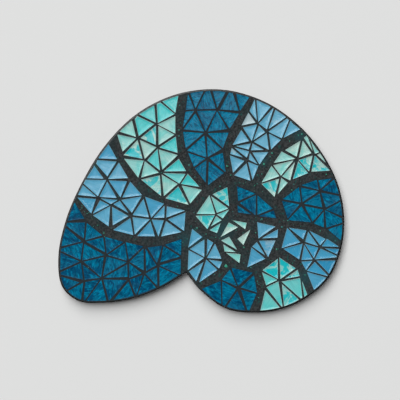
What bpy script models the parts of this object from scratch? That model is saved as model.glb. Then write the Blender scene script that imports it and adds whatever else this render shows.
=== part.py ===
"""Mosaic panel: a nautilus shell in cut glass on a shaped board, made to hang on a wall.

Metres, +Z up. The back of the board lies in Y = 0 and the tiles face -Y. The origin is the middle of the
back. There is a board, one sheet of grout, and one solid for each of the shell's fifteen chambers: the
chamber's tiles on the thin adhesive bed that joins them. The grout has a hole round every tile.
"""

import math
import random

import bmesh
import bpy
from mathutils import Matrix, Vector
from mathutils.geometry import convex_hull_2d, delaunay_2d_cdt

# Driving dimensions
PANEL_WIDTH = 0.286
BOARD_THICKNESS = 0.008
BACK_EDGE_EASE = 0.0006
GROUT_THICKNESS = 0.003
GROUT_EDGE_ROUND = 0.0013
ADHESIVE_BED = 0.0005
GAP = 0.0003  # between pieces that touch
TILE_PROUD = {"deep_teal": 0.0004, "light_blue": 0.0009, "mint": 0.0009}  # in front of the grout
JOINT = 0.0007  # between two tiles, where they come closest
JOINT_UNEVEN = 0.0003  # how much farther back one cut side may lie
JOINT_LEAN = math.radians(3.5)  # how far one cut side may turn
RIM_WIDTH = 0.0020  # grout outside the outermost tiles
BED_BEYOND_RIM_TILES = 0.0004
BED_BEYOND_LOOSE_TILES = 0.0016
SMALLEST_TILE = 0.000012  # square metres; a smaller offcut is left as grout

# The keyhole slot in the back takes a No. 8 screw with its head under a lip.
SCREW_HEAD = 0.0085
SCREW_SHANK = 0.0042
KEYHOLE_CLEARANCE = 0.0008
KEYHOLE_LIP = 0.0025
KEYHOLE_DEPTH = 0.0060
KEYHOLE_TRAVEL = 0.014
KEYHOLE_HEIGHT = 0.058  # of the resting screw, above the middle of the back

# Depths along Y, from the wall towards the viewer
BOARD_FRONT = -BOARD_THICKNESS
GROUT_BACK = BOARD_FRONT - GAP
GROUT_FRONT = GROUT_BACK - GROUT_THICKNESS
BED_FRONT = GROUT_BACK - ADHESIVE_BED
RECESS_FRONT = BED_FRONT - GAP  # of the grout, over a bed

# How finely round shapes are cut
OUTLINE_SPAN_STEPS = 24
OUTLINE_SAG = 0.12  # pixels
EDGE_STEPS = 2
ROUND_SHARE = 0.75  # the most of its wall that a rounded edge may take
KEYHOLE_STEPS = 16
SHARP_ANGLE = math.radians(35)
SHORTEST_SIDE = 0.00015
WELD = 1e-6

# What delaunay_2d_cdt fills
INSIDE_LOOPS = 1
INSIDE_LESS_HOLES = 2

GLASSES = ("deep_teal", "light_blue", "mint")  # they take turns along the spiral
COLOURS = {
    "board": (0.016, 0.017, 0.018),
    "grout": (0.030, 0.036, 0.038),
    "deep_teal": (0.006, 0.130, 0.260),
    "light_blue": (0.110, 0.370, 0.570),
    "mint": (0.240, 0.590, 0.540),
}
ROUGHNESS = {"board": 0.55, "grout": 0.85, "deep_teal": 0.22, "light_blue": 0.18, "mint": 0.18}

# The pattern, in pixels of the photograph: x to the right and y down. The outline runs clockwise from the
# notch between the shell's mouth and its belly, which is its one sharp corner.
NOTCH = (186.0, 272.8)
OUTLINE_KNOTS = (
    (200.5, 290.5), (226, 308.8), (256, 312.8), (284, 308.5), (308, 297), (328, 279), (340, 254),
    (344.6, 222), (339.5, 188), (325, 157), (301, 127), (266, 102), (224, 89.5), (180, 93),
    (139, 112), (106, 144), (81, 184), (65, 222), (58, 258), (62, 287), (78, 301), (102, 303),
    (135, 298), (163, 287),
)  # fmt: skip
RIM_CORNER_REACH = 6.0  # how far outside the outline a joint that meets the rim is drawn

# Chambers from the mouth inwards. band holds tile corners along the grout bands, rim those at the panel's
# edge, and inside those within the chamber. Tiles are the triangles between them.
CHAMBERS = (
    {
        "band": (
            (73, 199), (86.5, 220.5), (104, 236), (125, 241.5), (144.5, 246), (163, 245), (182.5, 237.5),
            (181.5, 256.5), (181.5, 276.5),
        ),
        "rim": (
            (161.5, 285), (139, 294.5), (113, 300.5), (86.5, 301.5), (65.5, 291), (60.5, 271.5),
            (61, 247.5), (66.5, 221.5),
        ),
        "inside": (
            (84, 241.5), (81.5, 261.5), (106, 255.5), (128.5, 262), (101.5, 278.5), (128.5, 279),
            (84, 281.5), (157.5, 265.5), (144.5, 273.5),
        ),
    },
    {
        "band": (
            (107, 140.5), (118.5, 160), (130, 179.5), (143.5, 195.5), (165.5, 203.5), (187, 210.5),
            (184.5, 232), (158.5, 238.5), (134, 237), (110.5, 230), (91.5, 215), (75, 196.5),
        ),
        "rim": ((83, 180), (95.5, 161)),
        "inside": (
            (107, 179.5), (98.5, 197.5), (120, 199.5), (111, 205), (131.5, 215.5), (151, 219),
            (165.5, 219.5),
        ),
    },
    {
        "band": (
            (179.5, 92), (176.5, 114.5), (176, 134.5), (179.5, 155), (187.5, 172.5), (203.5, 189),
            (190, 206), (163, 198.5), (138.5, 179.5), (121.5, 156.5), (115.5, 132),
        ),
        "rim": ((135, 116), (158, 102)),
        "inside": (
            (156.5, 124.5), (137.5, 138), (144.5, 160), (158, 147.5), (161, 172.5), (179.5, 184.5),
        ),
    },
    {
        "band": (
            (251.5, 95), (240, 113), (230, 130.5), (224, 150), (226.5, 174), (207.5, 186.5),
            (193.5, 168), (185.5, 151), (182, 130), (184, 110.5), (188, 89.5),
        ),
        "rim": ((208, 89), (230.5, 91)),
        "inside": ((195.5, 110), (217, 110), (205.5, 132.5), (207, 158.5)),
    },
    {
        "band": (
            (304.5, 129), (282, 139.5), (270.5, 151.5), (259.5, 165.5), (252.5, 182), (232, 176),
            (229, 154.5), (231.5, 146), (240.5, 126.5), (248.5, 111.5), (255, 97),
        ),
        "rim": ((273, 106), (288.5, 117.5)),
        "inside": ((258, 123.5), (267, 132), (252, 142.5), (250, 151), (247, 160)),
    },
    {
        "band": (
            (334, 171), (309.5, 173.5), (290.5, 183), (275, 198), (260.5, 183.5), (271, 164.5),
            (281.5, 149.5), (302.5, 138.5), (307.5, 133.5),
        ),
        "rim": ((322, 152),),
        "inside": ((297, 159), (314.5, 154.5), (281, 176.5)),
    },
    {
        "band": (
            (343.5, 243.5), (325.5, 229), (313, 223.5), (287, 220.5), (281, 199.5), (299.5, 185.5),
            (317.5, 179), (336, 177),
        ),
        "rim": ((342, 197), (345, 220)),
        "inside": ((302, 204), (320, 191), (324.5, 209.5)),
    },
    {
        "band": (
            (313.5, 293), (306, 271), (300.5, 261), (281, 249), (287, 227), (308, 229.5),
            (327, 238), (341.5, 247.5),
        ),
        "rim": ((337.5, 256), (328, 276)),
        "inside": ((303.5, 242.5), (320, 247.5), (314, 260)),
    },
    {
        "band": (
            (257.5, 314.5), (265.5, 287), (260.5, 270.5), (279, 256.5), (298, 269), (301, 277),
            (309.5, 297),
        ),
        "rim": ((299.5, 299), (280.5, 307)),
        "inside": ((279.5, 280.5),),
    },
    {
        "band": (
            (199, 289.5), (221, 280), (230.5, 267), (254.5, 272.5), (258, 293.5), (248, 315),
        ),
        "rim": ((221, 305),),
        "inside": ((238.5, 288.5),),
    },
    {
        "band": (
            (197, 285), (219, 270.5), (224, 260.5), (215, 242), (205.5, 237.5), (190.5, 226.5),
            (187.5, 249), (187, 271.5),
        ),
        "inside": ((206, 258.5),),
    },
    {
        "band": (
            (209.5, 194), (229.5, 185), (230.5, 208.5), (223, 220), (217, 234.5), (207.5, 230.5),
            (194, 215),
        ),
        "inside": ((216, 214.5),),
    },
    {
        "band": (
            (236.5, 184), (257, 193.5), (274, 209), (277.5, 219), (256, 216.5), (237, 213), (237, 203.5),
        ),
    },
    {
        "band": (
            (256.5, 220.5), (279, 226.5), (279, 238.5), (268, 259), (246.5, 268.5), (251, 246.5),
            (257.5, 240),
        ),
    },
    {
        "loose": (
            ((232.5, 220.3), (247.6, 222.5), (245.8, 230.2)),
            ((228.8, 222.5), (238.5, 227.2), (220.6, 237.2)),
            ((251.2, 228.8), (237.3, 238.9), (243.4, 245.2)),
            ((229.2, 236.2), (237.3, 250), (220.2, 240.4)),
            ((222.8, 243.8), (236.4, 252.3), (224.5, 251.6)),
            ((226, 252.8), (241.4, 253.8), (240, 264.2)),
        ),
    },
)  # fmt: skip


def catmull_rom(before, start, end, after, steps):
    """Points from start up to, but not including, end on a centripetal Catmull-Rom curve."""
    points = (before, start, end, after)
    times = [0.0]
    for here, there in zip(points, points[1:]):
        times.append(times[-1] + math.sqrt((there - here).length))

    def between(first, second, t, t_first, t_second):
        return first.lerp(second, (t - t_first) / (t_second - t_first))

    curve = []
    for step in range(steps):
        t = times[1] + (times[2] - times[1]) * step / steps
        level = [between(points[i], points[i + 1], t, times[i], times[i + 1]) for i in range(3)]
        level = [between(level[i], level[i + 1], t, times[i], times[i + 2]) for i in range(2)]
        curve.append(between(level[0], level[1], t, times[1], times[2]))
    return curve


def smooth_loop(corner, knots):
    """A curve from the sharp corner through every knot and back to it, without its last point."""
    corner = Vector(corner)
    knots = [corner, *(Vector(knot) for knot in knots), corner]
    knots = [2 * knots[0] - knots[1], *knots, 2 * knots[-1] - knots[-2]]
    curve = []
    for four in zip(knots, knots[1:], knots[2:], knots[3:]):
        curve += catmull_rom(*four, OUTLINE_SPAN_STEPS)
    return curve


def thinned(curve, sag):
    """The curve with only the points that keep it within sag of its chords. Its first point stays."""
    kept = [curve[0]]
    last = 0
    for n in range(2, len(curve) + 1):
        chord = curve[n % len(curve)] - kept[-1]
        square = Vector((-chord.y, chord.x)).normalized()
        if max(abs((point - kept[-1]).dot(square)) for point in curve[last + 1 : n]) > sag:
            last = n - 1
            kept.append(curve[last])
    return kept


def area(loop):
    """Signed area, above zero for a loop that runs anticlockwise as the viewer sees it."""
    return sum(a.cross(b) for a, b in zip(loop, loop[1:] + loop[:1])) / 2


def anticlockwise(loop):
    return loop if area(loop) > 0 else loop[::-1]


def centroid(loop):
    total = Vector((0.0, 0.0))
    for a, b in zip(loop, loop[1:] + loop[:1]):
        total += (a + b) * a.cross(b) / 6
    return total / area(loop)


def inset(loop, width):
    """The anticlockwise loop with each side moved in by width, or out where width is below zero."""
    moved = []
    for before, here, after in zip(loop[-1:] + loop[:-1], loop, loop[1:] + loop[:1]):
        first, second = (here - before).normalized(), (after - here).normalized()
        inward = Vector((-first.y - second.y, first.x + second.x)).normalized()
        half_turn = inward.dot(Vector((-first.y, first.x)))
        moved.append(here + inward * width / half_turn)
    return moved


def cut(loop, point, outward):
    """The part of a loop that lies behind the line through point, square to outward."""
    kept = []
    for here, there in zip(loop, loop[1:] + loop[:1]):
        before, after = (here - point).dot(outward), (there - point).dot(outward)
        if before <= 0:
            kept.append(here)
        if before * after < 0:
            kept.append(here.lerp(there, before / (before - after)))
    return kept


def without_short_sides(loop):
    """The loop less each corner that follows another within SHORTEST_SIDE."""
    return [
        here
        for before, here in zip(loop[-1:] + loop[:-1], loop)
        if (here - before).length > SHORTEST_SIDE
    ]


def trimmed(ground, corners, set_back, sides):
    """What of the ground lies inside a convex shape whose sides are moved in, each with its own lean.

    A side that leans also moves in until its nearer end is no closer than an upright one's.
    """
    loop = ground
    for here, there, (shift, lean) in zip(corners, corners[1:] + corners[:1], sides):
        along = there - here
        outward = Vector((along.y, -along.x)).normalized()
        lean_room = along.length / 2 * math.tan(abs(lean))
        middle = (here + there) / 2 - outward * (set_back + shift + lean_room)
        loop = cut(loop, middle, Matrix.Rotation(lean, 2) @ outward)
    return without_short_sides(loop) if len(loop) > 2 else []


def triangles_between(loop, inside):
    """Triangles that fill the loop and use every corner on it and inside it."""
    points = [*loop, *inside]
    edges = [(n, (n + 1) % len(loop)) for n in range(len(loop))]
    corners, _, faces, *_ = delaunay_2d_cdt(points, edges, [], INSIDE_LOOPS, WELD)
    triangles = [[corners[n] for n in face] for face in faces]
    return [anticlockwise(triangle) for triangle in triangles]


def shared(first, second):
    """The loop round what two anticlockwise loops have in common."""
    faces = [list(range(len(first))), [len(first) + n for n in range(len(second))]]
    points = [*first, *second]
    corners, _, triangles, *_, owners = delaunay_2d_cdt(points, [], faces, INSIDE_LOOPS, WELD)
    sides = set()
    for triangle, inside_of in zip(triangles, owners):
        if len(inside_of) == 2:
            for here, there in zip(triangle, triangle[1:] + triangle[:1]):
                if (there, here) in sides:
                    sides.remove((there, here))
                else:
                    sides.add((here, there))
    following = dict(sides)
    loop = [min(following)]
    while loop[-1] in following:
        loop.append(following.pop(loop[-1]))
    return without_short_sides([corners[n] for n in loop[:-1]])


class Panel:
    """The outline at its real size, and the way from the photograph's pixels to metres."""

    def __init__(self):
        rim = thinned(smooth_loop(NOTCH, OUTLINE_KNOTS), OUTLINE_SAG)
        low = Vector((min(p.x for p in rim), min(p.y for p in rim)))
        high = Vector((max(p.x for p in rim), max(p.y for p in rim)))
        self.middle = (low + high) / 2
        self.scale = PANEL_WIDTH / (high.x - low.x)
        self.outline = anticlockwise([self.at(point) for point in rim])

    def at(self, pixel):
        """(x, z) in metres of a pixel of the photograph."""
        x, y = pixel
        return Vector(((x - self.middle.x) * self.scale, (self.middle.y - y) * self.scale))

    def beyond_rim(self, pixel):
        """A rim corner moved outside the outline, away from the panel's middle."""
        away = (Vector(pixel) - self.middle).normalized()
        return self.at(Vector(pixel) + away * RIM_CORNER_REACH)


class Chamber:
    """One chamber's tiles, the holes round them in the grout, and the bed under them."""

    def __init__(self, panel, number, plan):
        self.glass = GLASSES[number % len(GLASSES)]
        self.name = f"chamber_{number + 1:02d}_{self.glass}"
        self.front = GROUT_FRONT - TILE_PROUD[self.glass]
        self.tiles, self.holes = [], []
        chance = random.Random(number)
        loose = "loose" in plan
        if loose:
            cells = [anticlockwise([panel.at(corner) for corner in tile]) for tile in plan["loose"]]
        else:
            loop = [panel.at(corner) for corner in plan["band"]]
            loop += [panel.beyond_rim(corner) for corner in plan.get("rim", ())]
            loop = anticlockwise(loop)
            cells = triangles_between(loop, [panel.at(p) for p in plan.get("inside", ())])
        tile_ground = inset(panel.outline, RIM_WIDTH)
        hole_ground = inset(panel.outline, RIM_WIDTH - GAP)
        set_back = 0.0 if loose else JOINT / 2
        for cell in cells:
            sides = [
                (0.0, 0.0)
                if loose
                else (
                    chance.uniform(0.0, JOINT_UNEVEN),
                    chance.uniform(-JOINT_LEAN, JOINT_LEAN),
                )
                for _ in cell
            ]
            tile = trimmed(tile_ground, cell, set_back, sides)
            if len(tile) > 2 and area(tile) > SMALLEST_TILE:
                self.tiles.append(tile)
                self.holes.append(trimmed(hole_ground, cell, set_back - GAP, sides))
        if loose:
            around = [corner for cell in cells for corner in cell]
            hull = anticlockwise([around[n] for n in convex_hull_2d(around)])
            self.bed = inset(hull, -BED_BEYOND_LOOSE_TILES)
        else:
            self.bed = shared(loop, inset(panel.outline, RIM_WIDTH - BED_BEYOND_RIM_TILES))
        self.recess = inset(self.bed, -GAP)


def flat(outer_loops, holes, depth):
    """Triangles at one depth that fill the outer loops and leave the holes open."""
    points, loops = [], []
    for loop in [*outer_loops, *holes]:
        loops.append([len(points) + n for n in range(len(loop))])
        points += loop
    corners, _, faces, *_ = delaunay_2d_cdt(points, [], loops, INSIDE_LESS_HOLES, WELD)
    return [[(corners[n].x, depth, corners[n].y) for n in face] for face in faces]


def wall(loop, depth, other_loop, other_depth):
    """A band of faces from one loop to another with as many corners."""
    rings = []
    for ring, y in ((loop, depth), (other_loop, other_depth)):
        corners = [(point.x, y, point.y) for point in ring]
        rings.append(list(zip(corners, corners[1:] + corners[:1])))
    return [[a, b, d, c] for (a, b), (c, d) in zip(*rings)]


def stack(rings):
    """Walls between each ring and the next. A ring is (loop, depth)."""
    faces = []
    for here, there in zip(rings, rings[1:]):
        faces += wall(*here, *there)
    return faces


def solid(name, faces, finish, parent):
    """One closed body from loose faces, with its own material."""
    body = bmesh.new()
    for corners in faces:
        body.faces.new([body.verts.new(corner) for corner in corners])
    bmesh.ops.remove_doubles(body, verts=body.verts, dist=WELD)
    bmesh.ops.recalc_face_normals(body, faces=body.faces)
    mesh = bpy.data.meshes.new(name)
    body.to_mesh(mesh)
    body.free()
    mesh.shade_smooth()
    mesh.set_sharp_from_angle(angle=SHARP_ANGLE)
    material = bpy.data.materials.new(name)
    material.use_nodes = True
    shader = material.node_tree.nodes["Principled BSDF"]
    shader.inputs["Base Color"].default_value = (*COLOURS[finish], 1.0)
    shader.inputs["Roughness"].default_value = ROUGHNESS[finish]
    material.diffuse_color = (*COLOURS[finish], 1.0)
    mesh.materials.append(material)
    piece = bpy.data.objects.new(name, mesh)
    bpy.context.scene.collection.objects.link(piece)
    piece.parent = parent
    return piece


def arc(centre, radius, start, end, steps):
    """Points anticlockwise from the start angle to the end angle, both included."""
    angles = [start + (end - start) * n / steps for n in range(steps + 1)]
    return [centre + Vector((math.cos(a), math.sin(a))) * radius for a in angles]


def keyhole_mouth(rest, entry, entry_radius, slot_radius):
    """The keyhole as seen on the back: a round entry with a narrower slot that runs up from it."""
    half = math.asin(slot_radius / entry_radius)
    up = math.pi / 2
    entry_arc = arc(entry, entry_radius, up + half, up + 2 * math.pi - half, KEYHOLE_STEPS)
    return entry_arc + arc(rest, slot_radius, 0, math.pi, KEYHOLE_STEPS // 2)


def keyhole_pocket(rest, entry, radius):
    """The wider pocket behind the lip, where the screw's head slides up."""
    below = arc(entry, radius, math.pi, 2 * math.pi, KEYHOLE_STEPS // 2)
    return below + arc(rest, radius, 0, math.pi, KEYHOLE_STEPS // 2)


def add_board(panel, parent):
    """The board, with a keyhole slot on the upright through its centre of gravity."""
    balance = centroid(panel.outline).x
    rest = Vector((balance, KEYHOLE_HEIGHT))
    entry = rest - Vector((0.0, KEYHOLE_TRAVEL))
    entry_radius = SCREW_HEAD / 2 + KEYHOLE_CLEARANCE
    mouth = keyhole_mouth(rest, entry, entry_radius, SCREW_SHANK / 2 + KEYHOLE_CLEARANCE / 2)
    pocket = keyhole_pocket(rest, entry, entry_radius + KEYHOLE_CLEARANCE / 2)
    eased = inset(panel.outline, BACK_EDGE_EASE)
    faces = flat([eased], [mouth], 0.0)
    faces += stack(
        [(eased, 0.0), (panel.outline, -BACK_EDGE_EASE), (panel.outline, BOARD_FRONT)]
    )
    faces += flat([panel.outline], [], BOARD_FRONT)
    faces += stack([(mouth, 0.0), (mouth, -KEYHOLE_LIP)])
    faces += flat([pocket], [mouth], -KEYHOLE_LIP)
    faces += stack([(pocket, -KEYHOLE_LIP), (pocket, -KEYHOLE_DEPTH)])
    faces += flat([pocket], [], -KEYHOLE_DEPTH)
    solid("backing_board", faces, "board", parent)


def add_grout(panel, chambers, parent):
    """The grout: a rounded rim, a hole round every tile, and a shallow recess over every bed."""
    edge_round = min(GROUT_EDGE_ROUND, ROUND_SHARE * min(RIM_WIDTH - GAP, GROUT_THICKNESS))
    rings = [(panel.outline, GROUT_BACK)]
    for step in range(EDGE_STEPS + 1):
        turn = math.pi / 2 * step / EDGE_STEPS
        loop = inset(panel.outline, edge_round * (1 - math.cos(turn)))
        rings.append((loop, GROUT_FRONT + edge_round * (1 - math.sin(turn))))
    recesses = [chamber.recess for chamber in chambers]
    holes = [hole for chamber in chambers for hole in chamber.holes]
    faces = flat([panel.outline], recesses, GROUT_BACK)
    faces += stack(rings)
    faces += flat([rings[-1][0]], holes, GROUT_FRONT)
    faces += flat(recesses, holes, RECESS_FRONT)
    for recess in recesses:
        faces += stack([(recess, GROUT_BACK), (recess, RECESS_FRONT)])
    for hole in holes:
        faces += stack([(hole, RECESS_FRONT), (hole, GROUT_FRONT)])
    solid("grout", faces, "grout", parent)


def add_tiles(chamber, parent):
    """A chamber's tiles, standing on their adhesive bed."""
    faces = flat([chamber.bed], [], GROUT_BACK)
    faces += stack([(chamber.bed, GROUT_BACK), (chamber.bed, BED_FRONT)])
    faces += flat([chamber.bed], chamber.tiles, BED_FRONT)
    for tile in chamber.tiles:
        faces += stack([(tile, BED_FRONT), (tile, chamber.front)])
        faces += flat([tile], [], chamber.front)
    solid(chamber.name, faces, chamber.glass, parent)


def main():
    for leftover in list(bpy.data.objects):
        bpy.data.objects.remove(leftover)
    wall_face = bpy.data.objects.new("wall_face", None)
    bpy.context.scene.collection.objects.link(wall_face)
    panel = Panel()
    chambers = [Chamber(panel, number, plan) for number, plan in enumerate(CHAMBERS)]
    add_board(panel, wall_face)
    add_grout(panel, chambers, wall_face)
    for chamber in chambers:
        add_tiles(chamber, wall_face)


main()
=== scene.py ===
"""Looks of the mosaic panel: cut glass tiles with dished faces, a sheet of charcoal grout with green
flecks, and the painted board with its keyhole slot.

Metres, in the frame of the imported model: the wall is Y = 0 and the tiles face -Y.
"""

import math

import bmesh
import bpy
import numpy as np
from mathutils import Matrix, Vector


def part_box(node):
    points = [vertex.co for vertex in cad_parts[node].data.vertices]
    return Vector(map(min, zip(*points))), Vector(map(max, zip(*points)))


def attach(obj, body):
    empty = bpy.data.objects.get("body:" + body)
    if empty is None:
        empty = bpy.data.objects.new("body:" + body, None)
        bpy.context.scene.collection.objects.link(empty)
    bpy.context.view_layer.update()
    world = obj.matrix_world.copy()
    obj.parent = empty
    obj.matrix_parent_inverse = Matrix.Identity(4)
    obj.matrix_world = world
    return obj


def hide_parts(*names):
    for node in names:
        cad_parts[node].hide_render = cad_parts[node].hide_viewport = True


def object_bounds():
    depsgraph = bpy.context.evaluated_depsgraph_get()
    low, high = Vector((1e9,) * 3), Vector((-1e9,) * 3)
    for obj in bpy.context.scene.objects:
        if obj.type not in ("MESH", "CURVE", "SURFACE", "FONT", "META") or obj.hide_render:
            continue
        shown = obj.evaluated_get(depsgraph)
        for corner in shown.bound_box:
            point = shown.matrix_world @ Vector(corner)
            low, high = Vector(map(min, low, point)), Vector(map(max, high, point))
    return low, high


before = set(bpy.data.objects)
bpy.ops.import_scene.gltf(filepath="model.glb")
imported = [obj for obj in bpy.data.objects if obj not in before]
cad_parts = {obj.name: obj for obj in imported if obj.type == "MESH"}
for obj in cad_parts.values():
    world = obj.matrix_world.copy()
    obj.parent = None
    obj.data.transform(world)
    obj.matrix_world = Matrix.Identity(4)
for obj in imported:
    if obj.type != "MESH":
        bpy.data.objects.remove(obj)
cad_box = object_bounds()

SAME_PLACE = 1e-6
SAME_DEPTH = 2e-5
ROUNDING = 1e-9
SHARP_FROM = 35  # degrees between two faces
CURVE_STEP = 0.1  # along the outline's curve, from one of its corners to the next

# The photograph's pixels, which place what is told apart tile by tile
PANEL_MIDDLE = (201.25, 200.85)
PANEL_WIDTH = 286.65
PIXEL = (cad_box[1].x - cad_box[0].x) / PANEL_WIDTH
PICTURE_MIDDLE = (200.0, 200.0)
PICTURE_WIDTH = 400.0

# Tiles, in metres
TILE_SPACING = 0.0045  # of the points round a tile
TILE_SUNK = 0.0009  # below the grout's face
ARRIS = (0.00014, 0.00026)  # how far in and how far down the broken edge goes
ARRIS_MOST = 0.1  # of the tile's radius, which the broken edge stays under
CUT_WANDER = 0.00007  # how far a hand-cut side strays
NIBBLED = 0.00022  # the most that a corner loses
CUT_SHORT = {"deep_teal": 0.0006, "light_blue": 0.0015, "mint": 0.0014}  # how far short a corner may stop
CUT_SHORT_SHARE = 0.09  # of the tile's lesser width, which small tiles stay under
FEW_CORNERS = 4  # a tile with more is trimmed by the rim, and keeps its corners
TILT = {"deep_teal": 0.006, "light_blue": 0.012, "mint": 0.012}  # the most that a tile leans, in radians
PATTERN_SHIFT = 1.0  # how far along its glass's pattern a tile may be cut

# The dish of a tile's face. Each ring has its distance inside the broken edge, the most of the tile's
# radius that this may be, and its share of the drop
DISH_RINGS = ((0.0004, 0.30, 0.50), (0.0010, 0.48, 0.92), (0.0024, 0.72, 1.0))
DISH_CENTRE = 1.06  # of the drop, at the middle
DISH_DROP = {"deep_teal": 0.00007, "light_blue": 0.00048, "mint": 0.00048}

# The search for a tile's deepest point
SEEK_TIMES = 120
SEEK_FIRST = 0.3  # of the tile's lesser width
SEEK_SHRINK = 0.94

# How light each chamber's glass is, from 0 to 1, by its place along the spiral
CHAMBER_TONE = (0.25, 0.50, 0.30, 0.80, 0.95, 0.20, 0.40, 0.10, 1.00, 0.25, 0.50, 0.70, 0.35, 0.50, 0.10)
TONE_SPREAD = {"deep_teal": 0.55, "light_blue": 0.30, "mint": 0.30}  # the most that a tile differs
SLATE = (0.3, 0.6)  # the most on a deep teal tile in the darkest chamber, and what the lightest adds
PLAIN_MINT = 0.7  # of the tone, so that plain mint stays paler than turquoise
TURQUOISE_TONE = (0.75, 1.0)
SWIRL = (0.85, 1.0)
WHITE_CORNER = 0.55

# Tiles that differ from their neighbours
PALE_BLUE_AT = ((252, 118),)
WHITE_CORNER_AT = ((270, 126), (230, 153), (112, 218), (264, 247))
DEEPER_BLUE_AT = ((326, 262), (333, 249), (318, 243))
TURQUOISE_AT = (
    (172, 102), (148.5, 114.5), (165.5, 113.5), (142.5, 124), (154, 158.5), (178, 164), (174, 176.5),
    (189.5, 180.5), (309, 147), (303.5, 290), (171, 146),
)
SWIRLED_AT = (
    (148.5, 135.5), (133, 151), (151, 182.5), (178, 194), (221, 197), (206, 221.5), (271, 269.5),
    (286, 268.5), (290.5, 276), (289.5, 295.5), (304.5, 162.5), (321, 162.5), (297, 172), (271, 185),
)

# Grout, in metres
RIM_ROUND = 0.0013
RIM_STEPS = 5
RIM_ZONE = 0.0026
GROUT_MIDDLE = (190.0, 200.0)  # pixels; the outline is seen whole from there
GROUT_ROUND_STEPS = 720
GROUT_ROWS = 110
GROUT_CHANCE = 7
UNEVEN = 0.00007  # height of the waves together
WAVES = 14
WAVE_LENGTHS = (0.004, 0.016)

# Where dye has run into the grout, and how wide, in pixels
TEAL_STAINS = (
    (223, 230, 9), (196, 240, 7), (262, 160, 6), (300, 136, 6), (184, 240, 8), (335, 236, 7), (305, 278, 8),
)

# Flecks of green glass in the grout: where, in pixels, and how wide, in metres
FLECKS = (
    (179, 130, 0.0016), (179, 136, 0.0018), (189, 165, 0.0017), (195, 177, 0.0015), (197, 228, 0.0019),
    (227, 166, 0.0018), (272, 153, 0.0019), (264, 164, 0.0022), (302, 134, 0.0019), (262, 219, 0.0017),
    (282, 227, 0.0020), (226, 266, 0.0034), (305, 275, 0.0014), (235, 227.5, 0.0014),
)
FLECK_CHANCE = 11
STRAY_FLECKS = 110
STRAY_WIDTHS = (0.0005, 0.0014)
FLECK_CLEAR = 0.001  # of tiles and of the panel's edge, from the middle of a stray fleck
FLECK_POINTS = 7
FLECK_ROUGH = (0.7, 1.1)  # of its radius, for each point round it
FLECK_HEIGHT = 0.00012
FLECK_RISE = 0.35  # the most of its radius that a fleck stands up
FLECK_SUNK = 0.0003  # below the grout's face
FLECK_SHOULDER = 0.4  # of its height
FLECK_TOP = 0.65  # of its radius

# The board and its keyhole, in metres
SLOT_HALF_WIDTH = 0.0025
BOARD_ROUND_STEPS = 720
BACK_SHARES = (0.05, 0.3, 0.65)  # where the back's rings lie, from the keyhole to the edge
EASE_STEPS = 3

# Wall, lights and camera
WALL_SIZE = 6.0
WALL_GAP = 0.0004
WALL_COLOUR = (0.78, 0.785, 0.78, 1.0)
SEEN_AROUND = (222, 223, 222)
LENS = 0.100
SENSOR = 0.036
KEY_DISTANCE = 36.0
KEY_LEFT = (-4, 35)  # degrees to the left that the key light spans, seen from the panel
KEY_UP = (3, 65)  # and upwards
KEY_POWER = 38200
BEHIND_WAY = (0.10, 1.0, 0.15)  # where the light behind comes from
BEHIND_STRENGTH = 1.6
BEHIND_SOFTNESS = 60
AMBIENT = 0.10
FACING_WALL = (math.pi / 2, 0.0, 0.0)


def at(pixel):
    """(x, z) in metres of a pixel of the photograph: its distance from the panel's middle, times a pixel's
    size."""
    pixel = np.asarray(pixel, float)
    return (pixel - PANEL_MIDDLE) * (PIXEL, -PIXEL)


def linear(red, green, blue):
    """The shader's colour for a screen colour from 0 to 255: the sRGB curve undone."""
    screen = np.array([red, green, blue]) / 255
    low, high = screen / 12.92, ((screen + 0.055) / 1.055) ** 2.4
    return (*np.where(screen <= 0.04045, low, high), 1.0)


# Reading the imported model


def flat_loops(node, depth):
    """Outlines of a CAD node's flat faces at one depth, each an array of (x, z), from merged triangles."""
    body = bmesh.new()
    body.from_mesh(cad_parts[node].data)
    bmesh.ops.remove_doubles(body, verts=body.verts, dist=SAME_PLACE)
    level = {face for face in body.faces if all(abs(v.co.y - depth) < SAME_DEPTH for v in face.verts)}
    following, place = {}, {}
    for face in level:
        for corner in face.loops:
            if not level & (set(corner.edge.link_faces) - {face}):
                following[corner.vert.index] = corner.link_loop_next.vert.index
                place[corner.vert.index] = (corner.vert.co.x, corner.vert.co.z)
    body.free()
    loops = []
    while following:
        here = min(following)
        loop = []
        while here in following:
            loop.append(place[here])
            here = following.pop(here)
        loops.append(np.array(loop))
    return loops


def depths_of(node):
    """The depths at which a CAD node has corners, from the front backwards."""
    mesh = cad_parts[node].data
    places = np.empty(len(mesh.vertices) * 3, np.float32)
    mesh.vertices.foreach_get("co", places)
    return np.unique(np.round(places[1::3].astype(float), 5))


# Shapes from rings of points


def smooth_outline(loop):
    """The outline with more points between each two of its corners, on a cubic curve through them all, and
    its notch kept sharp: the curve starts and ends there, with its neighbours mirrored through it."""
    ahead, behind = np.roll(loop, -1, axis=0) - loop, loop - np.roll(loop, 1, axis=0)
    turn = np.arctan2(
        behind[:, 0] * ahead[:, 1] - behind[:, 1] * ahead[:, 0], (behind * ahead).sum(axis=1)
    )
    loop = np.roll(loop, -np.abs(turn).argmax(), axis=0)
    knots = np.concatenate([[2 * loop[0] - loop[1]], loop, [loop[0]], [2 * loop[0] - loop[-1]]])
    t = np.arange(0, 1, CURVE_STEP)[None, :, None]
    a, b, c, d = (knots[n : n + len(loop), None] for n in range(4))
    square, cube = 2 * a - 5 * b + 4 * c - d, 3 * b - a - 3 * c + d
    return (0.5 * (2 * b + (c - a) * t + square * t**2 + cube * t**3)).reshape(-1, 2)


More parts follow.
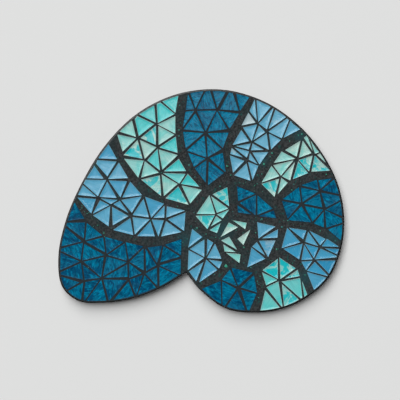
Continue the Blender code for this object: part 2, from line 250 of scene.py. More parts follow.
def reach(loop, middle, directions):
    """How far each direction from the middle runs before it meets the loop. Each side of the loop is met by
    the directions between its ends: the distance is the cross product that puts the point on the side."""
    start = loop - middle
    side = np.roll(start, -1, axis=0) - start
    cross = start[:, 0] * side[:, 1] - start[:, 1] * side[:, 0]
    facing = directions[:, :1] * side[:, 1] - directions[:, 1:] * side[:, 0]
    with np.errstate(divide="ignore", invalid="ignore"):
        distance = cross / facing
        share = (start[:, 0] * directions[:, 1:] - start[:, 1] * directions[:, :1]) / facing
    met = (distance > 0) & (share >= -ROUNDING) & (share <= 1 + ROUNDING)
    return np.where(met, distance, np.inf).min(axis=1)


def all_round(middle, first, steps):
    """Unit directions anticlockwise all round, the first towards one point."""
    start = math.atan2(first[1] - middle[1], first[0] - middle[0])
    angles = start + np.arange(steps) * 2 * math.pi / steps
    return np.stack([np.cos(angles), np.sin(angles)], axis=1)


def with_depth(flat_points, depth):
    """(x, y, z) points from (x, z) points and their depths."""
    depth = np.broadcast_to(depth, flat_points.shape[:-1])
    return np.stack([flat_points[..., 0], depth, flat_points[..., 1]], axis=-1)


def body_points(rings, depth, middle, front, back):
    """Points of a closed body: its rings from back to front, then the middle of the front and of the back."""
    ends = with_depth(np.array([middle, middle]), np.array([front, back]))
    return np.concatenate([with_depth(rings, depth).reshape(-1, 3), ends])


def body_faces(count, around):
    """Faces of a closed body that has count rings of so many points: quads from ring to ring, and a fan at
    each end."""
    here = np.arange(around)
    there = (here + 1) % around
    row = np.arange(count - 1)[:, None] * around
    quads = np.stack([row + here, row + there, row + around + there, row + around + here], axis=2)
    last = (count - 1) * around
    front = np.stack([last + here, last + there, np.full(around, count * around)], axis=1)
    back = np.stack([there, here, np.full(around, count * around + 1)], axis=1)
    return quads.reshape(-1, 4).tolist() + front.tolist() + back.tolist()


def faces_of_bodies(sizes):
    """Faces of many closed bodies in one piece, from each one's count of rings and of points in a ring."""
    faces, first = [], 0
    for count, around in sizes:
        faces += [[n + first for n in face] for face in body_faces(count, around)]
        first += count * around + 2
    return faces


def add_piece(name, points, faces, material, replaced=(), values=None):
    """A new piece from its points and faces. values holds its attributes, one number or three a point."""
    mesh = bpy.data.meshes.new(name)
    mesh.from_pydata(points.tolist(), [], faces)
    mesh.shade_smooth()
    mesh.set_sharp_from_angle(angle=math.radians(SHARP_FROM))
    for title, numbers in (values or {}).items():
        numbers = np.asarray(numbers, np.float32)
        kind, key = ("FLOAT", "value") if numbers.ndim == 1 else ("FLOAT_VECTOR", "vector")
        mesh.attributes.new(title, kind, "POINT").data.foreach_set(key, numbers.ravel())
    mesh.materials.append(material)
    piece = bpy.data.objects.new(name, mesh)
    bpy.context.scene.collection.objects.link(piece)
    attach(piece, "root")
    if replaced:
        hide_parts(*replaced)


# Tiles


def deepest_point(loop):
    """The point farthest from every side of a convex loop, and how far. It starts at the mean of the corners
    and keeps stepping away from the nearest side, each time by a little less."""
    sides = np.roll(loop, -1, axis=0) - loop
    inward = np.stack([-sides[:, 1], sides[:, 0]], axis=1) / np.linalg.norm(sides, axis=1)[:, None]
    point = loop.mean(axis=0)
    step = SEEK_FIRST * np.ptp(loop, axis=0).min()
    for _ in range(SEEK_TIMES):
        depths = ((point - loop) * inward).sum(axis=1)
        point = point + inward[depths.argmin()] * step
        step *= SEEK_SHRINK
    return point, ((point - loop) * inward).sum(axis=1).min()


def filled_in(loop, spacing):
    """The loop with points spread along each side, no farther apart than spacing, and a mark on its
    corners."""
    sides = np.roll(loop, -1, axis=0) - loop
    counts = np.ceil(np.linalg.norm(sides, axis=1) / spacing).astype(int)
    owner = np.repeat(np.arange(len(loop)), counts)
    step = np.arange(counts.sum()) - np.repeat(np.cumsum(counts) - counts, counts)
    return loop[owner] + sides[owner] * (step / counts[owner])[:, None], step == 0


def cut_short(loop, most, chance):
    """The loop with about half its corners drawn in towards its middle, which opens wedges beside its
    neighbours."""
    if len(loop) > FEW_CORNERS:
        return loop
    most = min(most, CUT_SHORT_SHARE * np.ptp(loop, axis=0).min())
    inward = loop.mean(axis=0) - loop
    inward /= np.linalg.norm(inward, axis=1, keepdims=True)
    return loop + inward * np.maximum(chance.uniform(-most, most, (len(loop), 1)), 0)


def tile_shape(loop, front, grout_front, glass, chance):
    """One tile: its points, how far each is from the edge, and its count of rings and of points in a ring.
    The rings are the loop scaled about its deepest point: the wall, the broken edge, the crest, then a face
    that falls away inwards like a shallow dish. The whole leans a little, and stays behind the front."""
    loop = cut_short(loop, CUT_SHORT[glass], chance)
    middle, radius = deepest_point(loop)
    around, is_corner = filled_in(loop, TILE_SPACING)
    stray = chance.uniform(-CUT_WANDER, CUT_WANDER, len(around)) * ~is_corner
    stray = stray + chance.uniform(0, NIBBLED, len(around)) * is_corner
    away = np.linalg.norm(around - middle, axis=1)
    around = middle + (around - middle) * (1 - np.maximum(stray, 0) / away)[:, None]
    drop = DISH_DROP[glass]
    crest = min(ARRIS[0], ARRIS_MOST * radius)
    insets = [0.0, 0.0, crest]
    depths = [0.0, ARRIS[1], 0.0]
    for inset, most, share in DISH_RINGS:
        insets.append(min(ARRIS[0] + inset, most * radius))
        depths.append(drop * share)
    scale = 1 - np.array(insets) / radius
    rings = middle + (around - middle) * scale[:, None, None]
    lean = chance.uniform(-TILT[glass], TILT[glass], 2)
    tipped = (rings - middle) @ lean
    tipped -= tipped.min()
    depth = front + np.array(depths)[:, None] + tipped
    depth[0] = grout_front + TILE_SUNK
    centre_depth = front + drop * DISH_CENTRE + tipped[-1].mean()
    points = body_points(rings, depth, middle, centre_depth, grout_front + TILE_SUNK)
    inside = np.array(insets)[:, None] + np.zeros(len(around))
    from_edge = np.concatenate([inside.ravel(), [radius, 0.0]]) - crest
    return points, np.maximum(from_edge, 0), rings.shape[:2]


def holds(loop, pixels):
    """Whether a convex loop holds any of the photograph's pixels."""
    sides = np.roll(loop, -1, axis=0) - loop
    for spot in at(pixels):
        off = spot - loop
        if (sides[:, 0] * off[:, 1] - sides[:, 1] * off[:, 0] > 0).all():
            return True
    return False


def character(loop, glass, chamber_tone, chance):
    """(tone, swirl, paleness) of a tile, each from 0 to 1. On deep teal, swirl is how much slate it has, and
    on light blue, how much deeper it is."""
    spread = TONE_SPREAD[glass]
    tone = min(max(chamber_tone + chance.uniform(-spread, spread), 0.0), 1.0)
    swirl, pale = 0.0, 0.0
    if glass == "deep_teal":
        swirl = max(0.0, chance.uniform(-1.0, 1.0)) * (SLATE[0] + SLATE[1] * chamber_tone)
    if glass == "mint":
        tone *= PLAIN_MINT
        if holds(loop, TURQUOISE_AT):
            tone = chance.uniform(*TURQUOISE_TONE)
        if holds(loop, SWIRLED_AT):
            swirl = chance.uniform(*SWIRL)
    if glass == "light_blue":
        if holds(loop, PALE_BLUE_AT):
            pale = 1.0
        if holds(loop, WHITE_CORNER_AT):
            pale = WHITE_CORNER
        if holds(loop, DEEPER_BLUE_AT):
            swirl = 1.0
    return tone, swirl, pale


def add_tiles(node, glass, material, grout_front, number):
    """One piece for a chamber's tiles. Each tile gets its own turn and place in the pattern, and its own
    tone."""
    chance = np.random.default_rng(number)
    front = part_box(node)[0].y
    points, sizes, edge, lay, nature = [], [], [], [], []
    for loop in flat_loops(node, front):
        shape, from_edge, size = tile_shape(loop, front, grout_front, glass, chance)
        angle = chance.uniform(0, 2 * math.pi)
        turn = np.array([[math.cos(angle), -math.sin(angle)], [math.sin(angle), math.cos(angle)]])
        shift = chance.uniform(-PATTERN_SHIFT, PATTERN_SHIFT, 2)
        along = (shape[:, [0, 2]] - loop.mean(axis=0)) @ turn + shift
        points.append(shape)
        sizes.append(size)
        edge.append(from_edge)
        lay.append(with_depth(along, chance.uniform(-PATTERN_SHIFT, PATTERN_SHIFT)))
        own = character(loop, glass, CHAMBER_TONE[number], chance)
        nature.append(np.tile(own, (len(shape), 1)))
    values = {
        "from_edge": np.concatenate(edge),
        "lay": np.concatenate(lay),
        "nature": np.concatenate(nature),
    }
    name, slot = node.replace("chamber", "tiles"), glass + "_glass"
    add_piece(name, np.concatenate(points), faces_of_bodies(sizes), material, [node], values)


# Grout


def uneven(flat_points, chance):
    """A gentle unevenness: the mean of waves that run every way, each with its own length."""
    height = np.zeros(flat_points.shape[:-1])
    for _ in range(WAVES):
        angle, start = chance.uniform(0, 2 * math.pi, 2)
        along = flat_points @ (math.cos(angle), math.sin(angle))
        height += np.sin(along * 2 * math.pi / chance.uniform(*WAVE_LENGTHS) + start)
    return height * UNEVEN / math.sqrt(WAVES)


def inside_any(flat_points, loops):
    """Whether each point lies inside one of the loops: a ray to the right of it crosses the loop's sides an
    odd number of times."""
    x, z = flat_points[..., 0], flat_points[..., 1]
    found = np.zeros(x.shape, bool)
    for loop in loops:
        odd = np.zeros(x.shape, bool)
        for (x1, z1), (x2, z2) in zip(loop, np.roll(loop, -1, axis=0)):
            if z1 != z2:
                odd ^= ((z1 > z) != (z2 > z)) & (x < (x2 - x1) * (z - z1) / (z2 - z1) + x1)
        found |= odd
    return found


def add_grout(outline, back, front, teal_beds, material):
    """The grout as one closed sheet on a polar grid: a wall, a rounded rim, and rows that shrink to the
    middle. The rows near the rim keep their distance from it, and those inside share out what is left."""
    middle = at(GROUT_MIDDLE)
    ways = all_round(middle, outline[0], GROUT_ROUND_STEPS)
    edge = reach(outline, middle, ways)
    turn = np.linspace(0, math.pi / 2, RIM_STEPS + 1)
    rim = np.concatenate([[0.0], RIM_ROUND * (1 - np.cos(turn)), [RIM_ZONE]])
    rim_depth = np.concatenate([[back], front + RIM_ROUND * (1 - np.sin(turn)), [front]])
    shrink = np.linspace(1, 0, GROUT_ROWS + 1)[1:-1]
    near = edge - rim[:, None]
    far = (edge - RIM_ZONE) * shrink[:, None]
    rings = middle + np.concatenate([near, far])[..., None] * ways
    depth = np.concatenate([rim_depth, np.full(len(far), front)])[:, None]
    calm = np.concatenate([np.linspace(0, 1, len(rim)), np.ones(len(far))])[:, None]
    depth = depth + calm * uneven(rings, np.random.default_rng(GROUT_CHANCE))
    points = body_points(rings, depth, middle, front, back)
    flat_points = points[:, [0, 2]]
    stain = np.zeros(len(points))
    for x, y, width in TEAL_STAINS:
        gone = np.linalg.norm(flat_points - at((x, y)), axis=1) / (width * PIXEL)
        stain = np.maximum(stain, np.exp(-(gone**2)))
    from_rim = np.repeat(np.concatenate([rim, np.full(len(far), RIM_ZONE)]), GROUT_ROUND_STEPS)
    values = {
        "stain": stain,
        "teal_bed": inside_any(flat_points, teal_beds).astype(float),
        "from_rim": np.concatenate([from_rim, [RIM_ZONE, 0.0]]),
    }
    add_piece("grout_sheet", points, body_faces(*rings.shape[:2]), material, ["grout"], values)


def add_flecks(front, outline, tiles, material):
    """Crumbs of green glass in the grout, each a low dome with an uneven edge: a few wide ones in their
    places and many small ones strewn between the tiles."""
    chance = np.random.default_rng(FLECK_CHANCE)
    spots = [(*at((x, y)), width / 2) for x, y, width in FLECKS]
    low, high = outline.min(axis=0), outline.max(axis=0)
    beside = FLECK_CLEAR * np.array([(0, 0), (1, 0), (-1, 0), (0, 1), (0, -1)])
    while len(spots) < len(FLECKS) + STRAY_FLECKS:
        place = chance.uniform(low, high)
        width = chance.uniform(*STRAY_WIDTHS)
        if inside_any(place + beside, [outline]).all() and not inside_any(place + beside, tiles).any():
            spots.append((*place, width / 2))
    points, sizes = [], []
    ways = all_round((0, 0), (1, 0), FLECK_POINTS)
    for x, z, radius in spots:
        rough = radius * chance.uniform(*FLECK_ROUGH, (FLECK_POINTS, 1)) * ways
        height = min(FLECK_HEIGHT, radius * FLECK_RISE)
        rings = (x, z) + np.array([1.0, 1.0, FLECK_TOP])[:, None, None] * rough
        foot, top = front + FLECK_SUNK, front - height
        depth = np.array([foot, front - FLECK_SHOULDER * height, top])[:, None]
        points.append(body_points(rings, depth, (x, z), top, foot))
        sizes.append(rings.shape[:2])
    add_piece("green_flecks", np.concatenate(points), faces_of_bodies(sizes), material)


# Board


def keyhole(radius, centre, top, half_width, ways):
    """How far the edge of a keyhole lies each way from the centre of its round entry: the circle, or where
    it is farther the slot, whose sides are upright and whose end is round."""
    sideways, up = np.abs(ways[:, 0]), ways[:, 1]
    rise = top - centre[1]
    with np.errstate(divide="ignore"):
        to_side = np.where(sideways > 0, half_width / sideways, np.inf)
    to_end = rise * up + np.sqrt(np.maximum(half_width**2 - (rise * sideways) ** 2, 0))
    slot = np.where(to_side * up < rise, to_side, to_end)
    return np.maximum(radius, np.where(up > 0, slot, 0))


def add_board(outline, material):
    """The board as one closed body on rays from the keyhole's entry: the pocket's floor, its wall, the lip,
    the mouth, the back, the eased edge, the side and the front."""
    node = "backing_board"
    front, floor, lip, ease, back = depths_of(node)
    mouth = min(flat_loops(node, back), key=lambda loop: np.ptp(loop[:, 0]))
    pocket = flat_loops(node, floor)[0]
    radius = np.ptp(mouth[:, 0]) / 2
    centre = np.array([mouth[:, 0].min() + radius, mouth[:, 1].min() + radius])
    top = mouth[:, 1].max() - SLOT_HALF_WIDTH
    pocket_radius = np.ptp(pocket[:, 0]) / 2
    ways = all_round(centre, outline[0], BOARD_ROUND_STEPS)
    edge = reach(outline, centre, ways)
    hole = keyhole(radius, centre, top, SLOT_HALF_WIDTH, ways)
    room = keyhole(pocket_radius, centre, top, pocket_radius, ways)
    easing = back - ease
    rings = [(room, floor), (room, lip), (hole, lip), (hole, back)]
    rings += [(hole + (edge - hole) * share, back) for share in BACK_SHARES]
    for turn in np.linspace(0, math.pi / 2, EASE_STEPS + 1):
        rings.append((edge - easing * (1 - math.sin(turn)), back - easing * (1 - math.cos(turn))))
    rings += [(edge, (ease + front) / 2), (edge, front)]
    reached = np.array([far for far, _ in rings])
    depth = np.array([level for _, level in rings])[:, None]
    points = body_points(centre + reached[..., None] * ways, depth, centre, front, floor)
    add_piece("painted_board", points, body_faces(*reached.shape), material, [node])


# Finishes

NUMBER, VECTOR, COLOUR = "NodeSocketFloat", "NodeSocketVector", "NodeSocketColor"


def feed(tree, socket, value):
    """Gives an input a value or another node's output."""
    if isinstance(value, bpy.types.NodeSocket):
        tree.links.new(value, socket)
    else:
        socket.default_value = value


def add(tree, kind, settings=None, **inputs):
    """A node with its settings and inputs. _ stands for a space in an input's name."""
    made = tree.nodes.new(kind)
    for title, value in (settings or {}).items():
        setattr(made, title, value)
    for title, value in inputs.items():
        feed(tree, made.inputs[title.replace("_", " ")], value)
    return made


def calc(tree, operation, first, second, clamp=False):
    """One sum on two numbers, each a value or an output."""
    made = add(tree, "ShaderNodeMath", {"operation": operation, "use_clamp": clamp})
    feed(tree, made.inputs[0], first)
    feed(tree, made.inputs[1], second)
    return made.outputs[0]


def between(tree, share, first, second):
    """A colour between two, by a share."""
    made = add(tree, "ShaderNodeMix", {"data_type": "RGBA"})
    feed(tree, made.inputs[0], share)
    feed(tree, made.inputs[6], first)
    feed(tree, made.inputs[7], second)
    return made.outputs[2]


def tinted(tree, colour, mask, amount, tint):
    """The colour with a tint laid over it by an amount, where a mask has it."""
    return between(tree, calc(tree, "MULTIPLY", mask, amount), colour, tint)


def ramp(tree, value, low, high, start=0.0, end=1.0):
    """A number carried from one range to another, and held at its ends."""
    made = add(
        tree, "ShaderNodeMapRange", {"interpolation_type": "SMOOTHSTEP"},
        Value=value, From_Min=low, From_Max=high, To_Min=start, To_Max=end,
    )
    return made.outputs[0]


def noise(tree, place, scale, **inputs):
    """Noise of one scale, as a number."""
    return add(tree, "ShaderNodeTexNoise", Vector=place, Scale=scale, **inputs).outputs["Fac"]


def new_group(title, inputs, outputs):
    """An empty node group with its sockets, and its two end nodes."""
    tree = bpy.data.node_groups.new(title, "ShaderNodeTree")
    for name, (kind, value) in inputs.items():
        socket = tree.interface.new_socket(name, in_out="INPUT", socket_type=kind)
        if value is not None:
            socket.default_value = value
    for name, kind in outputs.items():
        tree.interface.new_socket(name, in_out="OUTPUT", socket_type=kind)
    return tree, tree.nodes.new("NodeGroupInput").outputs, tree.nodes.new("NodeGroupOutput").inputs


def strokes_group():
    """Brush strokes: noise drawn out along the first axis of the position and narrow across it."""
    inputs = {
        "Position": (VECTOR, None),
        "Length": (NUMBER, 0.006),
        "Width": (NUMBER, 0.0008),
        "Low": (NUMBER, 0.45),
        "High": (NUMBER, 0.65),
    }
    tree, given, out = new_group("brush_strokes", inputs, {"Mask": NUMBER})
    per_length = calc(tree, "DIVIDE", 1.0, given["Length"])
    per_width = calc(tree, "DIVIDE", 1.0, given["Width"])
    size = add(tree, "ShaderNodeCombineXYZ", X=per_length, Y=per_width, Z=per_width)
    stretched = add(tree, "ShaderNodeVectorMath", {"operation": "MULTIPLY"})
    feed(tree, stretched.inputs[0], given["Position"])
    feed(tree, stretched.inputs[1], size.outputs[0])
    lines = noise(tree, stretched.outputs[0], 1.0, Detail=3.0, Roughness=0.6, Distortion=0.7)
    feed(tree, out["Mask"], ramp(tree, lines, given["Low"], given["High"]))
    return tree


def cloud_group():
    """Soft patches: noise of one size, bent by itself as molten glass swirls, between two limits."""
    inputs = {
        "Position": (VECTOR, None),
        "Size": (NUMBER, 0.01),
        "Detail": (NUMBER, 4.0),
        "Bend": (NUMBER, 1.0),
        "Low": (NUMBER, 0.4),
        "High": (NUMBER, 0.6),
    }
    tree, given, out = new_group("glass_cloud", inputs, {"Mask": NUMBER})
    scale = calc(tree, "DIVIDE", 1.0, given["Size"])
    patches = noise(
        tree, given["Position"], scale, Detail=given["Detail"], Roughness=0.55, Distortion=given["Bend"]
    )
    feed(tree, out["Mask"], ramp(tree, patches, given["Low"], given["High"]))
    return tree


def cut_edge_group():
    """The ground edge of a cut tile: its colour goes paler towards the crest, unevenly along it."""
    inputs = {
        "Colour": (COLOUR, None),
        "Edge Colour": (COLOUR, None),
        "From Edge": (NUMBER, 0.0),
        "Position": (VECTOR, None),
        "Width": (NUMBER, 0.0004),
        "Amount": (NUMBER, 0.5),
    }
    tree, given, out = new_group("cut_edge", inputs, {"Colour": COLOUR, "Mask": NUMBER})
    nicks = ramp(tree, noise(tree, given["Position"], 700.0, Detail=3.0), 0.3, 0.7, 0.4, 1.6)
    width = calc(tree, "MULTIPLY", given["Width"], nicks)
    share = calc(tree, "SUBTRACT", 1.0, calc(tree, "DIVIDE", given["From Edge"], width), clamp=True)
    share = calc(tree, "MULTIPLY", share, given["Amount"])
    feed(tree, out["Colour"], between(tree, share, given["Colour"], given["Edge Colour"]))
    feed(tree, out["Mask"], share)
    return tree


def grain_group():
    """Fine grain: coarse and fine noise together, as a height around zero and as a mask from 0 to 1."""
    inputs = {"Position": (VECTOR, None), "Size": (NUMBER, 0.0005)}
    tree, given, out = new_group("fine_grain", inputs, {"Height": NUMBER, "Mask": NUMBER})
    scale = calc(tree, "DIVIDE", 1.0, given["Size"])
    coarse = noise(tree, given["Position"], scale, Detail=4.0, Roughness=0.7)
    fine = noise(tree, given["Position"], calc(tree, "MULTIPLY", scale, 3.1), Detail=2.0)
    height = calc(tree, "ADD", coarse, calc(tree, "MULTIPLY", fine, 0.5))
    feed(tree, out["Height"], calc(tree, "SUBTRACT", height, 0.75))
    feed(tree, out["Mask"], ramp(tree, coarse, 0.35, 0.68))
    return tree


GROUPS = {
    "strokes": strokes_group(),
    "cloud": cloud_group(),
    "cut_edge": cut_edge_group(),
    "grain": grain_group(),
}


def effect(tree, group, **inputs):
    """One of the shared effects, placed in a material with its own values."""
    return add(tree, "ShaderNodeGroup", {"node_tree": GROUPS[group]}, **inputs).outputs


def strokes(tree, place, length, width, low, high):
    """Brush strokes, as a mask."""
    return effect(tree, "strokes", Position=place, Length=length, Width=width, Low=low, High=high)["Mask"]


def cloud(tree, place, size, bend, low, high, detail=4.0):
    """Soft patches, as a mask."""
    made = effect(
        tree, "cloud", Position=place, Size=size, Detail=detail, Bend=bend, Low=low, High=high
    )
    return made["Mask"]


def new_material(title):
    """A material and its shader."""
    material = bpy.data.materials.new(title)
    material.use_nodes = True
    tree = material.node_tree
    return material, tree, tree.nodes["Principled BSDF"]


def own_place(tree):
    """Where a point is on its piece."""
    return add(tree, "ShaderNodeTexCoord").outputs["Object"]


def read(tree, title, output="Fac"):
    """A value that the piece carries at each point: a number, or a vector where the output says so."""
    return add(tree, "ShaderNodeAttribute", {"attribute_name": title}).outputs[output]


def finish_surface(tree, shader, colour, roughness, height, relief):
    """Puts the colour, roughness and relief on the shader."""
    feed(tree, shader.inputs["Base Color"], colour)
    feed(tree, shader.inputs["Roughness"], roughness)
    bump = add(tree, "ShaderNodeBump", Height=height, Distance=relief)
    feed(tree, shader.inputs["Normal"], bump.outputs[0])


def glass_parts(title):
    """What the three glasses start from: where a point lies in its tile's own pattern, how far from the
    tile's edge, and the tile's tone, swirl and paleness."""
    material, tree, shader = new_material(title)
    lay = read(tree, "lay", "Vector")
    edge = read(tree, "from_edge")
    nature = add(tree, "ShaderNodeSeparateXYZ", Vector=read(tree, "nature", "Vector")).outputs
    return material, tree, shader, lay, edge, nature


def glass_surface(tree, shader, lay, edge, colour, edge_colour, edge_amount, gloss, shine):
    """The cut edge, gloss and faint hand-made ripple that all the glasses share."""
    cut = effect(
        tree, "cut_edge",
        Colour=colour, Edge_Colour=edge_colour, From_Edge=edge, Position=lay, Amount=edge_amount,
    )
    smear = cloud(tree, lay, size=0.004, bend=1.5, low=0.3, high=0.75)
    grain = effect(tree, "grain", Position=lay, Size=0.0009)["Height"]
    roughness = calc(tree, "ADD", gloss, calc(tree, "MULTIPLY", smear, 0.06))
    roughness = calc(tree, "ADD", roughness, calc(tree, "MULTIPLY", cut["Mask"], 0.3))
    shader.inputs["Specular IOR Level"].default_value = shine
    finish_surface(tree, shader, cut["Colour"], roughness, grain, relief=0.00003)


def hatched(tree, lay, colour, amount):
    """The colour with fine, faint lines across the tile, as rolled glass has."""
    lines = strokes(tree, lay, length=0.016, width=0.0010, low=0.42, high=0.58)
    return tinted(tree, colour, lines, amount, linear(40, 110, 120))


def deep_teal_glass():
    """Deep teal with strokes of lighter and darker blue, and patches of slate."""
    material, tree, shader, lay, edge, nature = glass_parts("deep_teal_glass")
    colour = between(tree, nature["X"], linear(0, 70, 106), linear(0, 118, 152))
    wash = cloud(tree, lay, size=0.012, bend=1.2, low=0.42, high=0.62)
    colour = tinted(tree, colour, wash, 0.6, linear(0, 124, 158))
    slate = cloud(tree, lay, size=0.012, bend=0.6, low=0.35, high=0.60)
    colour = tinted(tree, colour, slate, calc(tree, "MULTIPLY", nature["Y"], 0.75), linear(44, 80, 110))
    light = strokes(tree, lay, length=0.008, width=0.0022, low=0.51, high=0.64)
    colour = tinted(tree, colour, light, 0.65, linear(0, 142, 182))
    dark = strokes(tree, lay, length=0.006, width=0.0019, low=0.52, high=0.38)
    colour = tinted(tree, colour, dark, 0.65, linear(0, 50, 80))
    edge_colour = linear(0, 120, 152)
    glass_surface(tree, shader, lay, edge, colour, edge_colour, edge_amount=0.15, gloss=0.14, shine=0.08)
    return material


def light_blue_glass():
    """Light blue, nearly even, with faint strokes. A few tiles are paler, whitish at one corner or deeper."""
    material, tree, shader, lay, edge, nature = glass_parts("light_blue_glass")
    colour = between(tree, nature["X"], linear(56, 153, 195), linear(112, 180, 208))
    colour = tinted(tree, colour, nature["Y"], 0.7, linear(38, 138, 184))
    light = strokes(tree, lay, length=0.007, width=0.0009, low=0.50, high=0.75)
    colour = tinted(tree, colour, light, 0.35, linear(128, 188, 208))
    wash = cloud(tree, lay, size=0.008, bend=0.8, low=0.4, high=0.7)
    colour = tinted(tree, colour, wash, 0.3, linear(64, 144, 178))
    patch = cloud(tree, lay, size=0.012, bend=0.4, low=0.48, high=0.60)
    whole = ramp(tree, nature["Z"], 0.8, 1.0)
    part = calc(tree, "MULTIPLY", patch, ramp(tree, nature["Z"], 0.2, 0.5, 0.0, 0.55))
    colour = between(tree, calc(tree, "MAXIMUM", whole, part), colour, linear(172, 194, 200))
    colour = hatched(tree, lay, colour, 0.12)
    edge_colour = linear(165, 210, 225)
    glass_surface(tree, shader, lay, edge, colour, edge_colour, edge_amount=0.5, gloss=0.12, shine=0.3)
    return material


def mint_glass():
    """Pale mint to turquoise by the tile. On swirled tiles, cyan and near-white run through each other."""
    material, tree, shader, lay, edge, nature = glass_parts("mint_glass")
    pale = cloud(tree, lay, size=0.020, bend=0.6, low=0.35, high=0.62, detail=2.0)
    colour = between(tree, pale, linear(134, 210, 200), linear(182, 214, 204))
    colour = between(tree, nature["X"], colour, linear(64, 200, 200))
    swirl = cloud(tree, lay, size=0.016, bend=1.6, low=0.44, high=0.55, detail=3.0)
    vein = strokes(tree, lay, length=0.012, width=0.0030, low=0.54, high=0.64)
    cyan = calc(tree, "MULTIPLY", nature["Y"], calc(tree, "MAXIMUM", swirl, vein))
    faint = calc(tree, "MULTIPLY", swirl, 0.12)
    colour = between(tree, calc(tree, "MAXIMUM", cyan, faint), colour, linear(8, 186, 194))
    fringe = cloud(tree, lay, size=0.016, bend=1.6, low=0.38, high=0.45, detail=3.0)
    fringe = calc(tree, "SUBTRACT", fringe, calc(tree, "MULTIPLY", swirl, 2.0), clamp=True)
    colour = tinted(tree, colour, fringe, calc(tree, "MULTIPLY", nature["Y"], 0.5), linear(200, 218, 208))
    colour = hatched(tree, lay, colour, 0.14)
    edge_colour = linear(215, 232, 226)
    glass_surface(tree, shader, lay, edge, colour, edge_colour, edge_amount=0.6, gloss=0.12, shine=0.3)
    return material


def charcoal_grout():
    """Charcoal with fine sand, more even between the deep teal tiles, teal where dye has run, and black and
    glossier at the rim."""
    material, tree, shader = new_material("charcoal_grout")
    place = own_place(tree)
    grain = effect(tree, "grain", Position=place, Size=0.0017)
    colour = between(tree, grain["Mask"], linear(10, 14, 16), linear(58, 62, 63))
    blotch = cloud(tree, place, size=0.02, bend=0.8, low=0.42, high=0.60)
    colour = tinted(tree, colour, blotch, 0.35, linear(12, 46, 48))
    green = cloud(tree, place, size=0.0040, bend=0.4, low=0.60, high=0.68)
    colour = tinted(tree, colour, green, 0.7, linear(6, 74, 70))
    colour = tinted(tree, colour, read(tree, "stain"), 0.7, linear(12, 66, 72))
    colour = tinted(tree, colour, read(tree, "teal_bed"), 0.75, linear(24, 32, 38))
    rim = ramp(tree, read(tree, "from_rim"), 0.0012, 0.0022, 1.0, 0.0)
    colour = between(tree, rim, colour, linear(14, 16, 17))
    roughness = calc(tree, "SUBTRACT", 0.85, calc(tree, "MULTIPLY", rim, 0.65))
    shader.inputs["Specular IOR Level"].default_value = 0.4
    finish_surface(tree, shader, colour, roughness, grain["Height"], relief=0.00022)
    return material


def green_fleck():
    """Crumbs of green glass, some deeper than others."""
    material, tree, shader = new_material("green_fleck")
    place = own_place(tree)
    shade = cloud(tree, place, size=0.012, bend=0.5, low=0.4, high=0.6)
    colour = between(tree, shade, linear(8, 150, 118), linear(4, 108, 104))
    grain = effect(tree, "grain", Position=place, Size=0.0004)
    roughness = calc(tree, "ADD", 0.35, calc(tree, "MULTIPLY", grain["Mask"], 0.2))
    finish_surface(tree, shader, colour, roughness, grain["Height"], relief=0.00004)
    return material


def black_paint():
    """Black paint over fibreboard: satin on the edge and matt on the back, with a faint roller texture and a
    little dust rubbed into it."""
    material, tree, shader = new_material("black_paint")
    place = own_place(tree)
    grain = effect(tree, "grain", Position=place, Size=0.0012)
    dust = cloud(tree, place, size=0.03, bend=1.0, low=0.45, high=0.75)
    depth = add(tree, "ShaderNodeSeparateXYZ", Vector=place).outputs["Y"]
    on_back = ramp(tree, depth, -0.0006, -0.0001)
    colour = between(tree, grain["Mask"], linear(24, 25, 26), linear(36, 38, 39))
    colour = tinted(tree, colour, calc(tree, "MULTIPLY", dust, on_back), 0.5, linear(66, 66, 64))
    roughness = calc(tree, "ADD", 0.42, calc(tree, "MULTIPLY", on_back, 0.3))
    finish_surface(tree, shader, colour, roughness, grain["Height"], relief=0.00005)
    return material


# Backdrop, light and camera


def put_out(tree, share, first, second, output):
    """Sends two shaders, mixed by a share, to the output of a material or of the world."""
    mix = add(tree, "ShaderNodeMixShader", Fac=share)
    feed(tree, mix.inputs[1], first.outputs[0])
    feed(tree, mix.inputs[2], second.outputs[0])
    feed(tree, tree.nodes[output].inputs["Surface"], mix.outputs[0])


def add_wall():
    """A pale wall just behind the panel. It is seen from the front only, and keeps no light from the panel's
    back."""
    half = WALL_SIZE / 2
    corners = [(x * half, WALL_GAP, z * half) for x, z in ((-1, -1), (1, -1), (1, 1), (-1, 1))]
    mesh = bpy.data.meshes.new("wall")
    mesh.from_pydata(corners, [], [(0, 1, 2, 3)])
    material, tree, shader = new_material("wall_paint")
    shader.inputs["Base Color"].default_value = WALL_COLOUR
    shader.inputs["Roughness"].default_value = 0.9
    shader.inputs["Specular IOR Level"].default_value = 0.1
    clear = add(tree, "ShaderNodeBsdfTransparent")
    facing = add(tree, "ShaderNodeNewGeometry").outputs["Backfacing"]
    put_out(tree, facing, shader, clear, "Material Output")
    mesh.materials.append(material)
    wall = bpy.data.objects.new("wall", mesh)
    wall.visible_diffuse = False
    wall.visible_glossy = False
    wall.visible_shadow = False
    bpy.context.scene.collection.objects.link(wall)


def set_up(title, data, location, turn):
    """Puts a light or a camera in its place."""
    holder = bpy.data.objects.new(title, data)
    holder.location = location
    holder.rotation_euler = turn
    bpy.context.scene.collection.objects.link(holder)
    return holder


def add_key_light():
    """A broad light, upright before the wall, that fills its span of directions up and to the left."""
    near, far = (-KEY_DISTANCE * math.tan(math.radians(angle)) for angle in KEY_LEFT)
    low, high = (KEY_DISTANCE * math.tan(math.radians(angle)) for angle in KEY_UP)
    lamp = bpy.data.lights.new("key", "AREA")
    lamp.shape = "RECTANGLE"
    lamp.size, lamp.size_y = near - far, high - low
    lamp.energy = KEY_POWER
    set_up("key", lamp, ((near + far) / 2, -KEY_DISTANCE, (low + high) / 2), FACING_WALL)


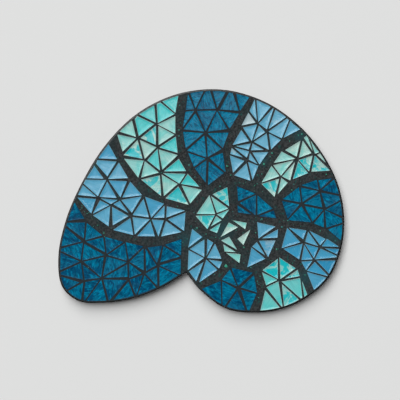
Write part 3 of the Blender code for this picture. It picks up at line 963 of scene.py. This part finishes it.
def add_light_behind():
    """A far, soft light that shines from behind the wall and shows the panel's back."""
    lamp = bpy.data.lights.new("behind", "SUN")
    lamp.energy = BEHIND_STRENGTH
    lamp.angle = math.radians(BEHIND_SOFTNESS)
    set_up("behind", lamp, (0.0, 0.0, 0.0), Vector(BEHIND_WAY).to_track_quat("Z", "Y").to_euler())


def add_surroundings():
    """A dim even light all round, which the camera sees as the wall's pale grey."""
    world = bpy.data.worlds.new("surroundings")
    world.use_nodes = True
    tree = world.node_tree
    sky = tree.nodes["Background"]
    sky.inputs["Color"].default_value = (1.0, 1.0, 1.0, 1.0)
    sky.inputs["Strength"].default_value = AMBIENT
    seen = add(tree, "ShaderNodeBackground", Color=linear(*SEEN_AROUND), Strength=1.0)
    put_out(tree, add(tree, "ShaderNodeLightPath").outputs["Is Camera Ray"], sky, seen, "World Output")
    bpy.context.scene.world = world


def add_camera(tile_front):
    """A camera square to the panel, as far off as makes the picture's width span its pixels at the tiles."""
    camera = bpy.data.cameras.new("camera")
    camera.lens = LENS * 1000
    camera.sensor_width = SENSOR * 1000
    x, z = at(PICTURE_MIDDLE)
    away = PICTURE_WIDTH * PIXEL * LENS / SENSOR
    bpy.context.scene.camera = set_up("camera", camera, (x, tile_front - away, z), FACING_WALL)


# The panel

glasses = {"deep_teal": deep_teal_glass(), "light_blue": light_blue_glass(), "mint": mint_glass()}
grout_back, grout_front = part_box("grout")[1].y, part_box("grout")[0].y
board_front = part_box("backing_board")[0].y
outline = smooth_outline(max(flat_loops("backing_board", board_front), key=len))
tile_loops, teal_beds = [], []
for number, node in enumerate(sorted(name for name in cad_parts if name.startswith("chamber"))):
    glass = node.split("_", 2)[2]
    add_tiles(node, glass, glasses[glass], grout_front, number)
    tile_loops += flat_loops(node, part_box(node)[0].y)
    if glass == "deep_teal":
        teal_beds += flat_loops(node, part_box(node)[1].y)
add_grout(outline, grout_back, grout_front, teal_beds, charcoal_grout())
add_flecks(grout_front, outline, tile_loops, green_fleck())
add_board(outline, black_paint())

add_wall()
add_key_light()
add_light_behind()
add_surroundings()
add_camera(cad_box[0].y)
bpy.context.scene.view_settings.view_transform = "Standard"
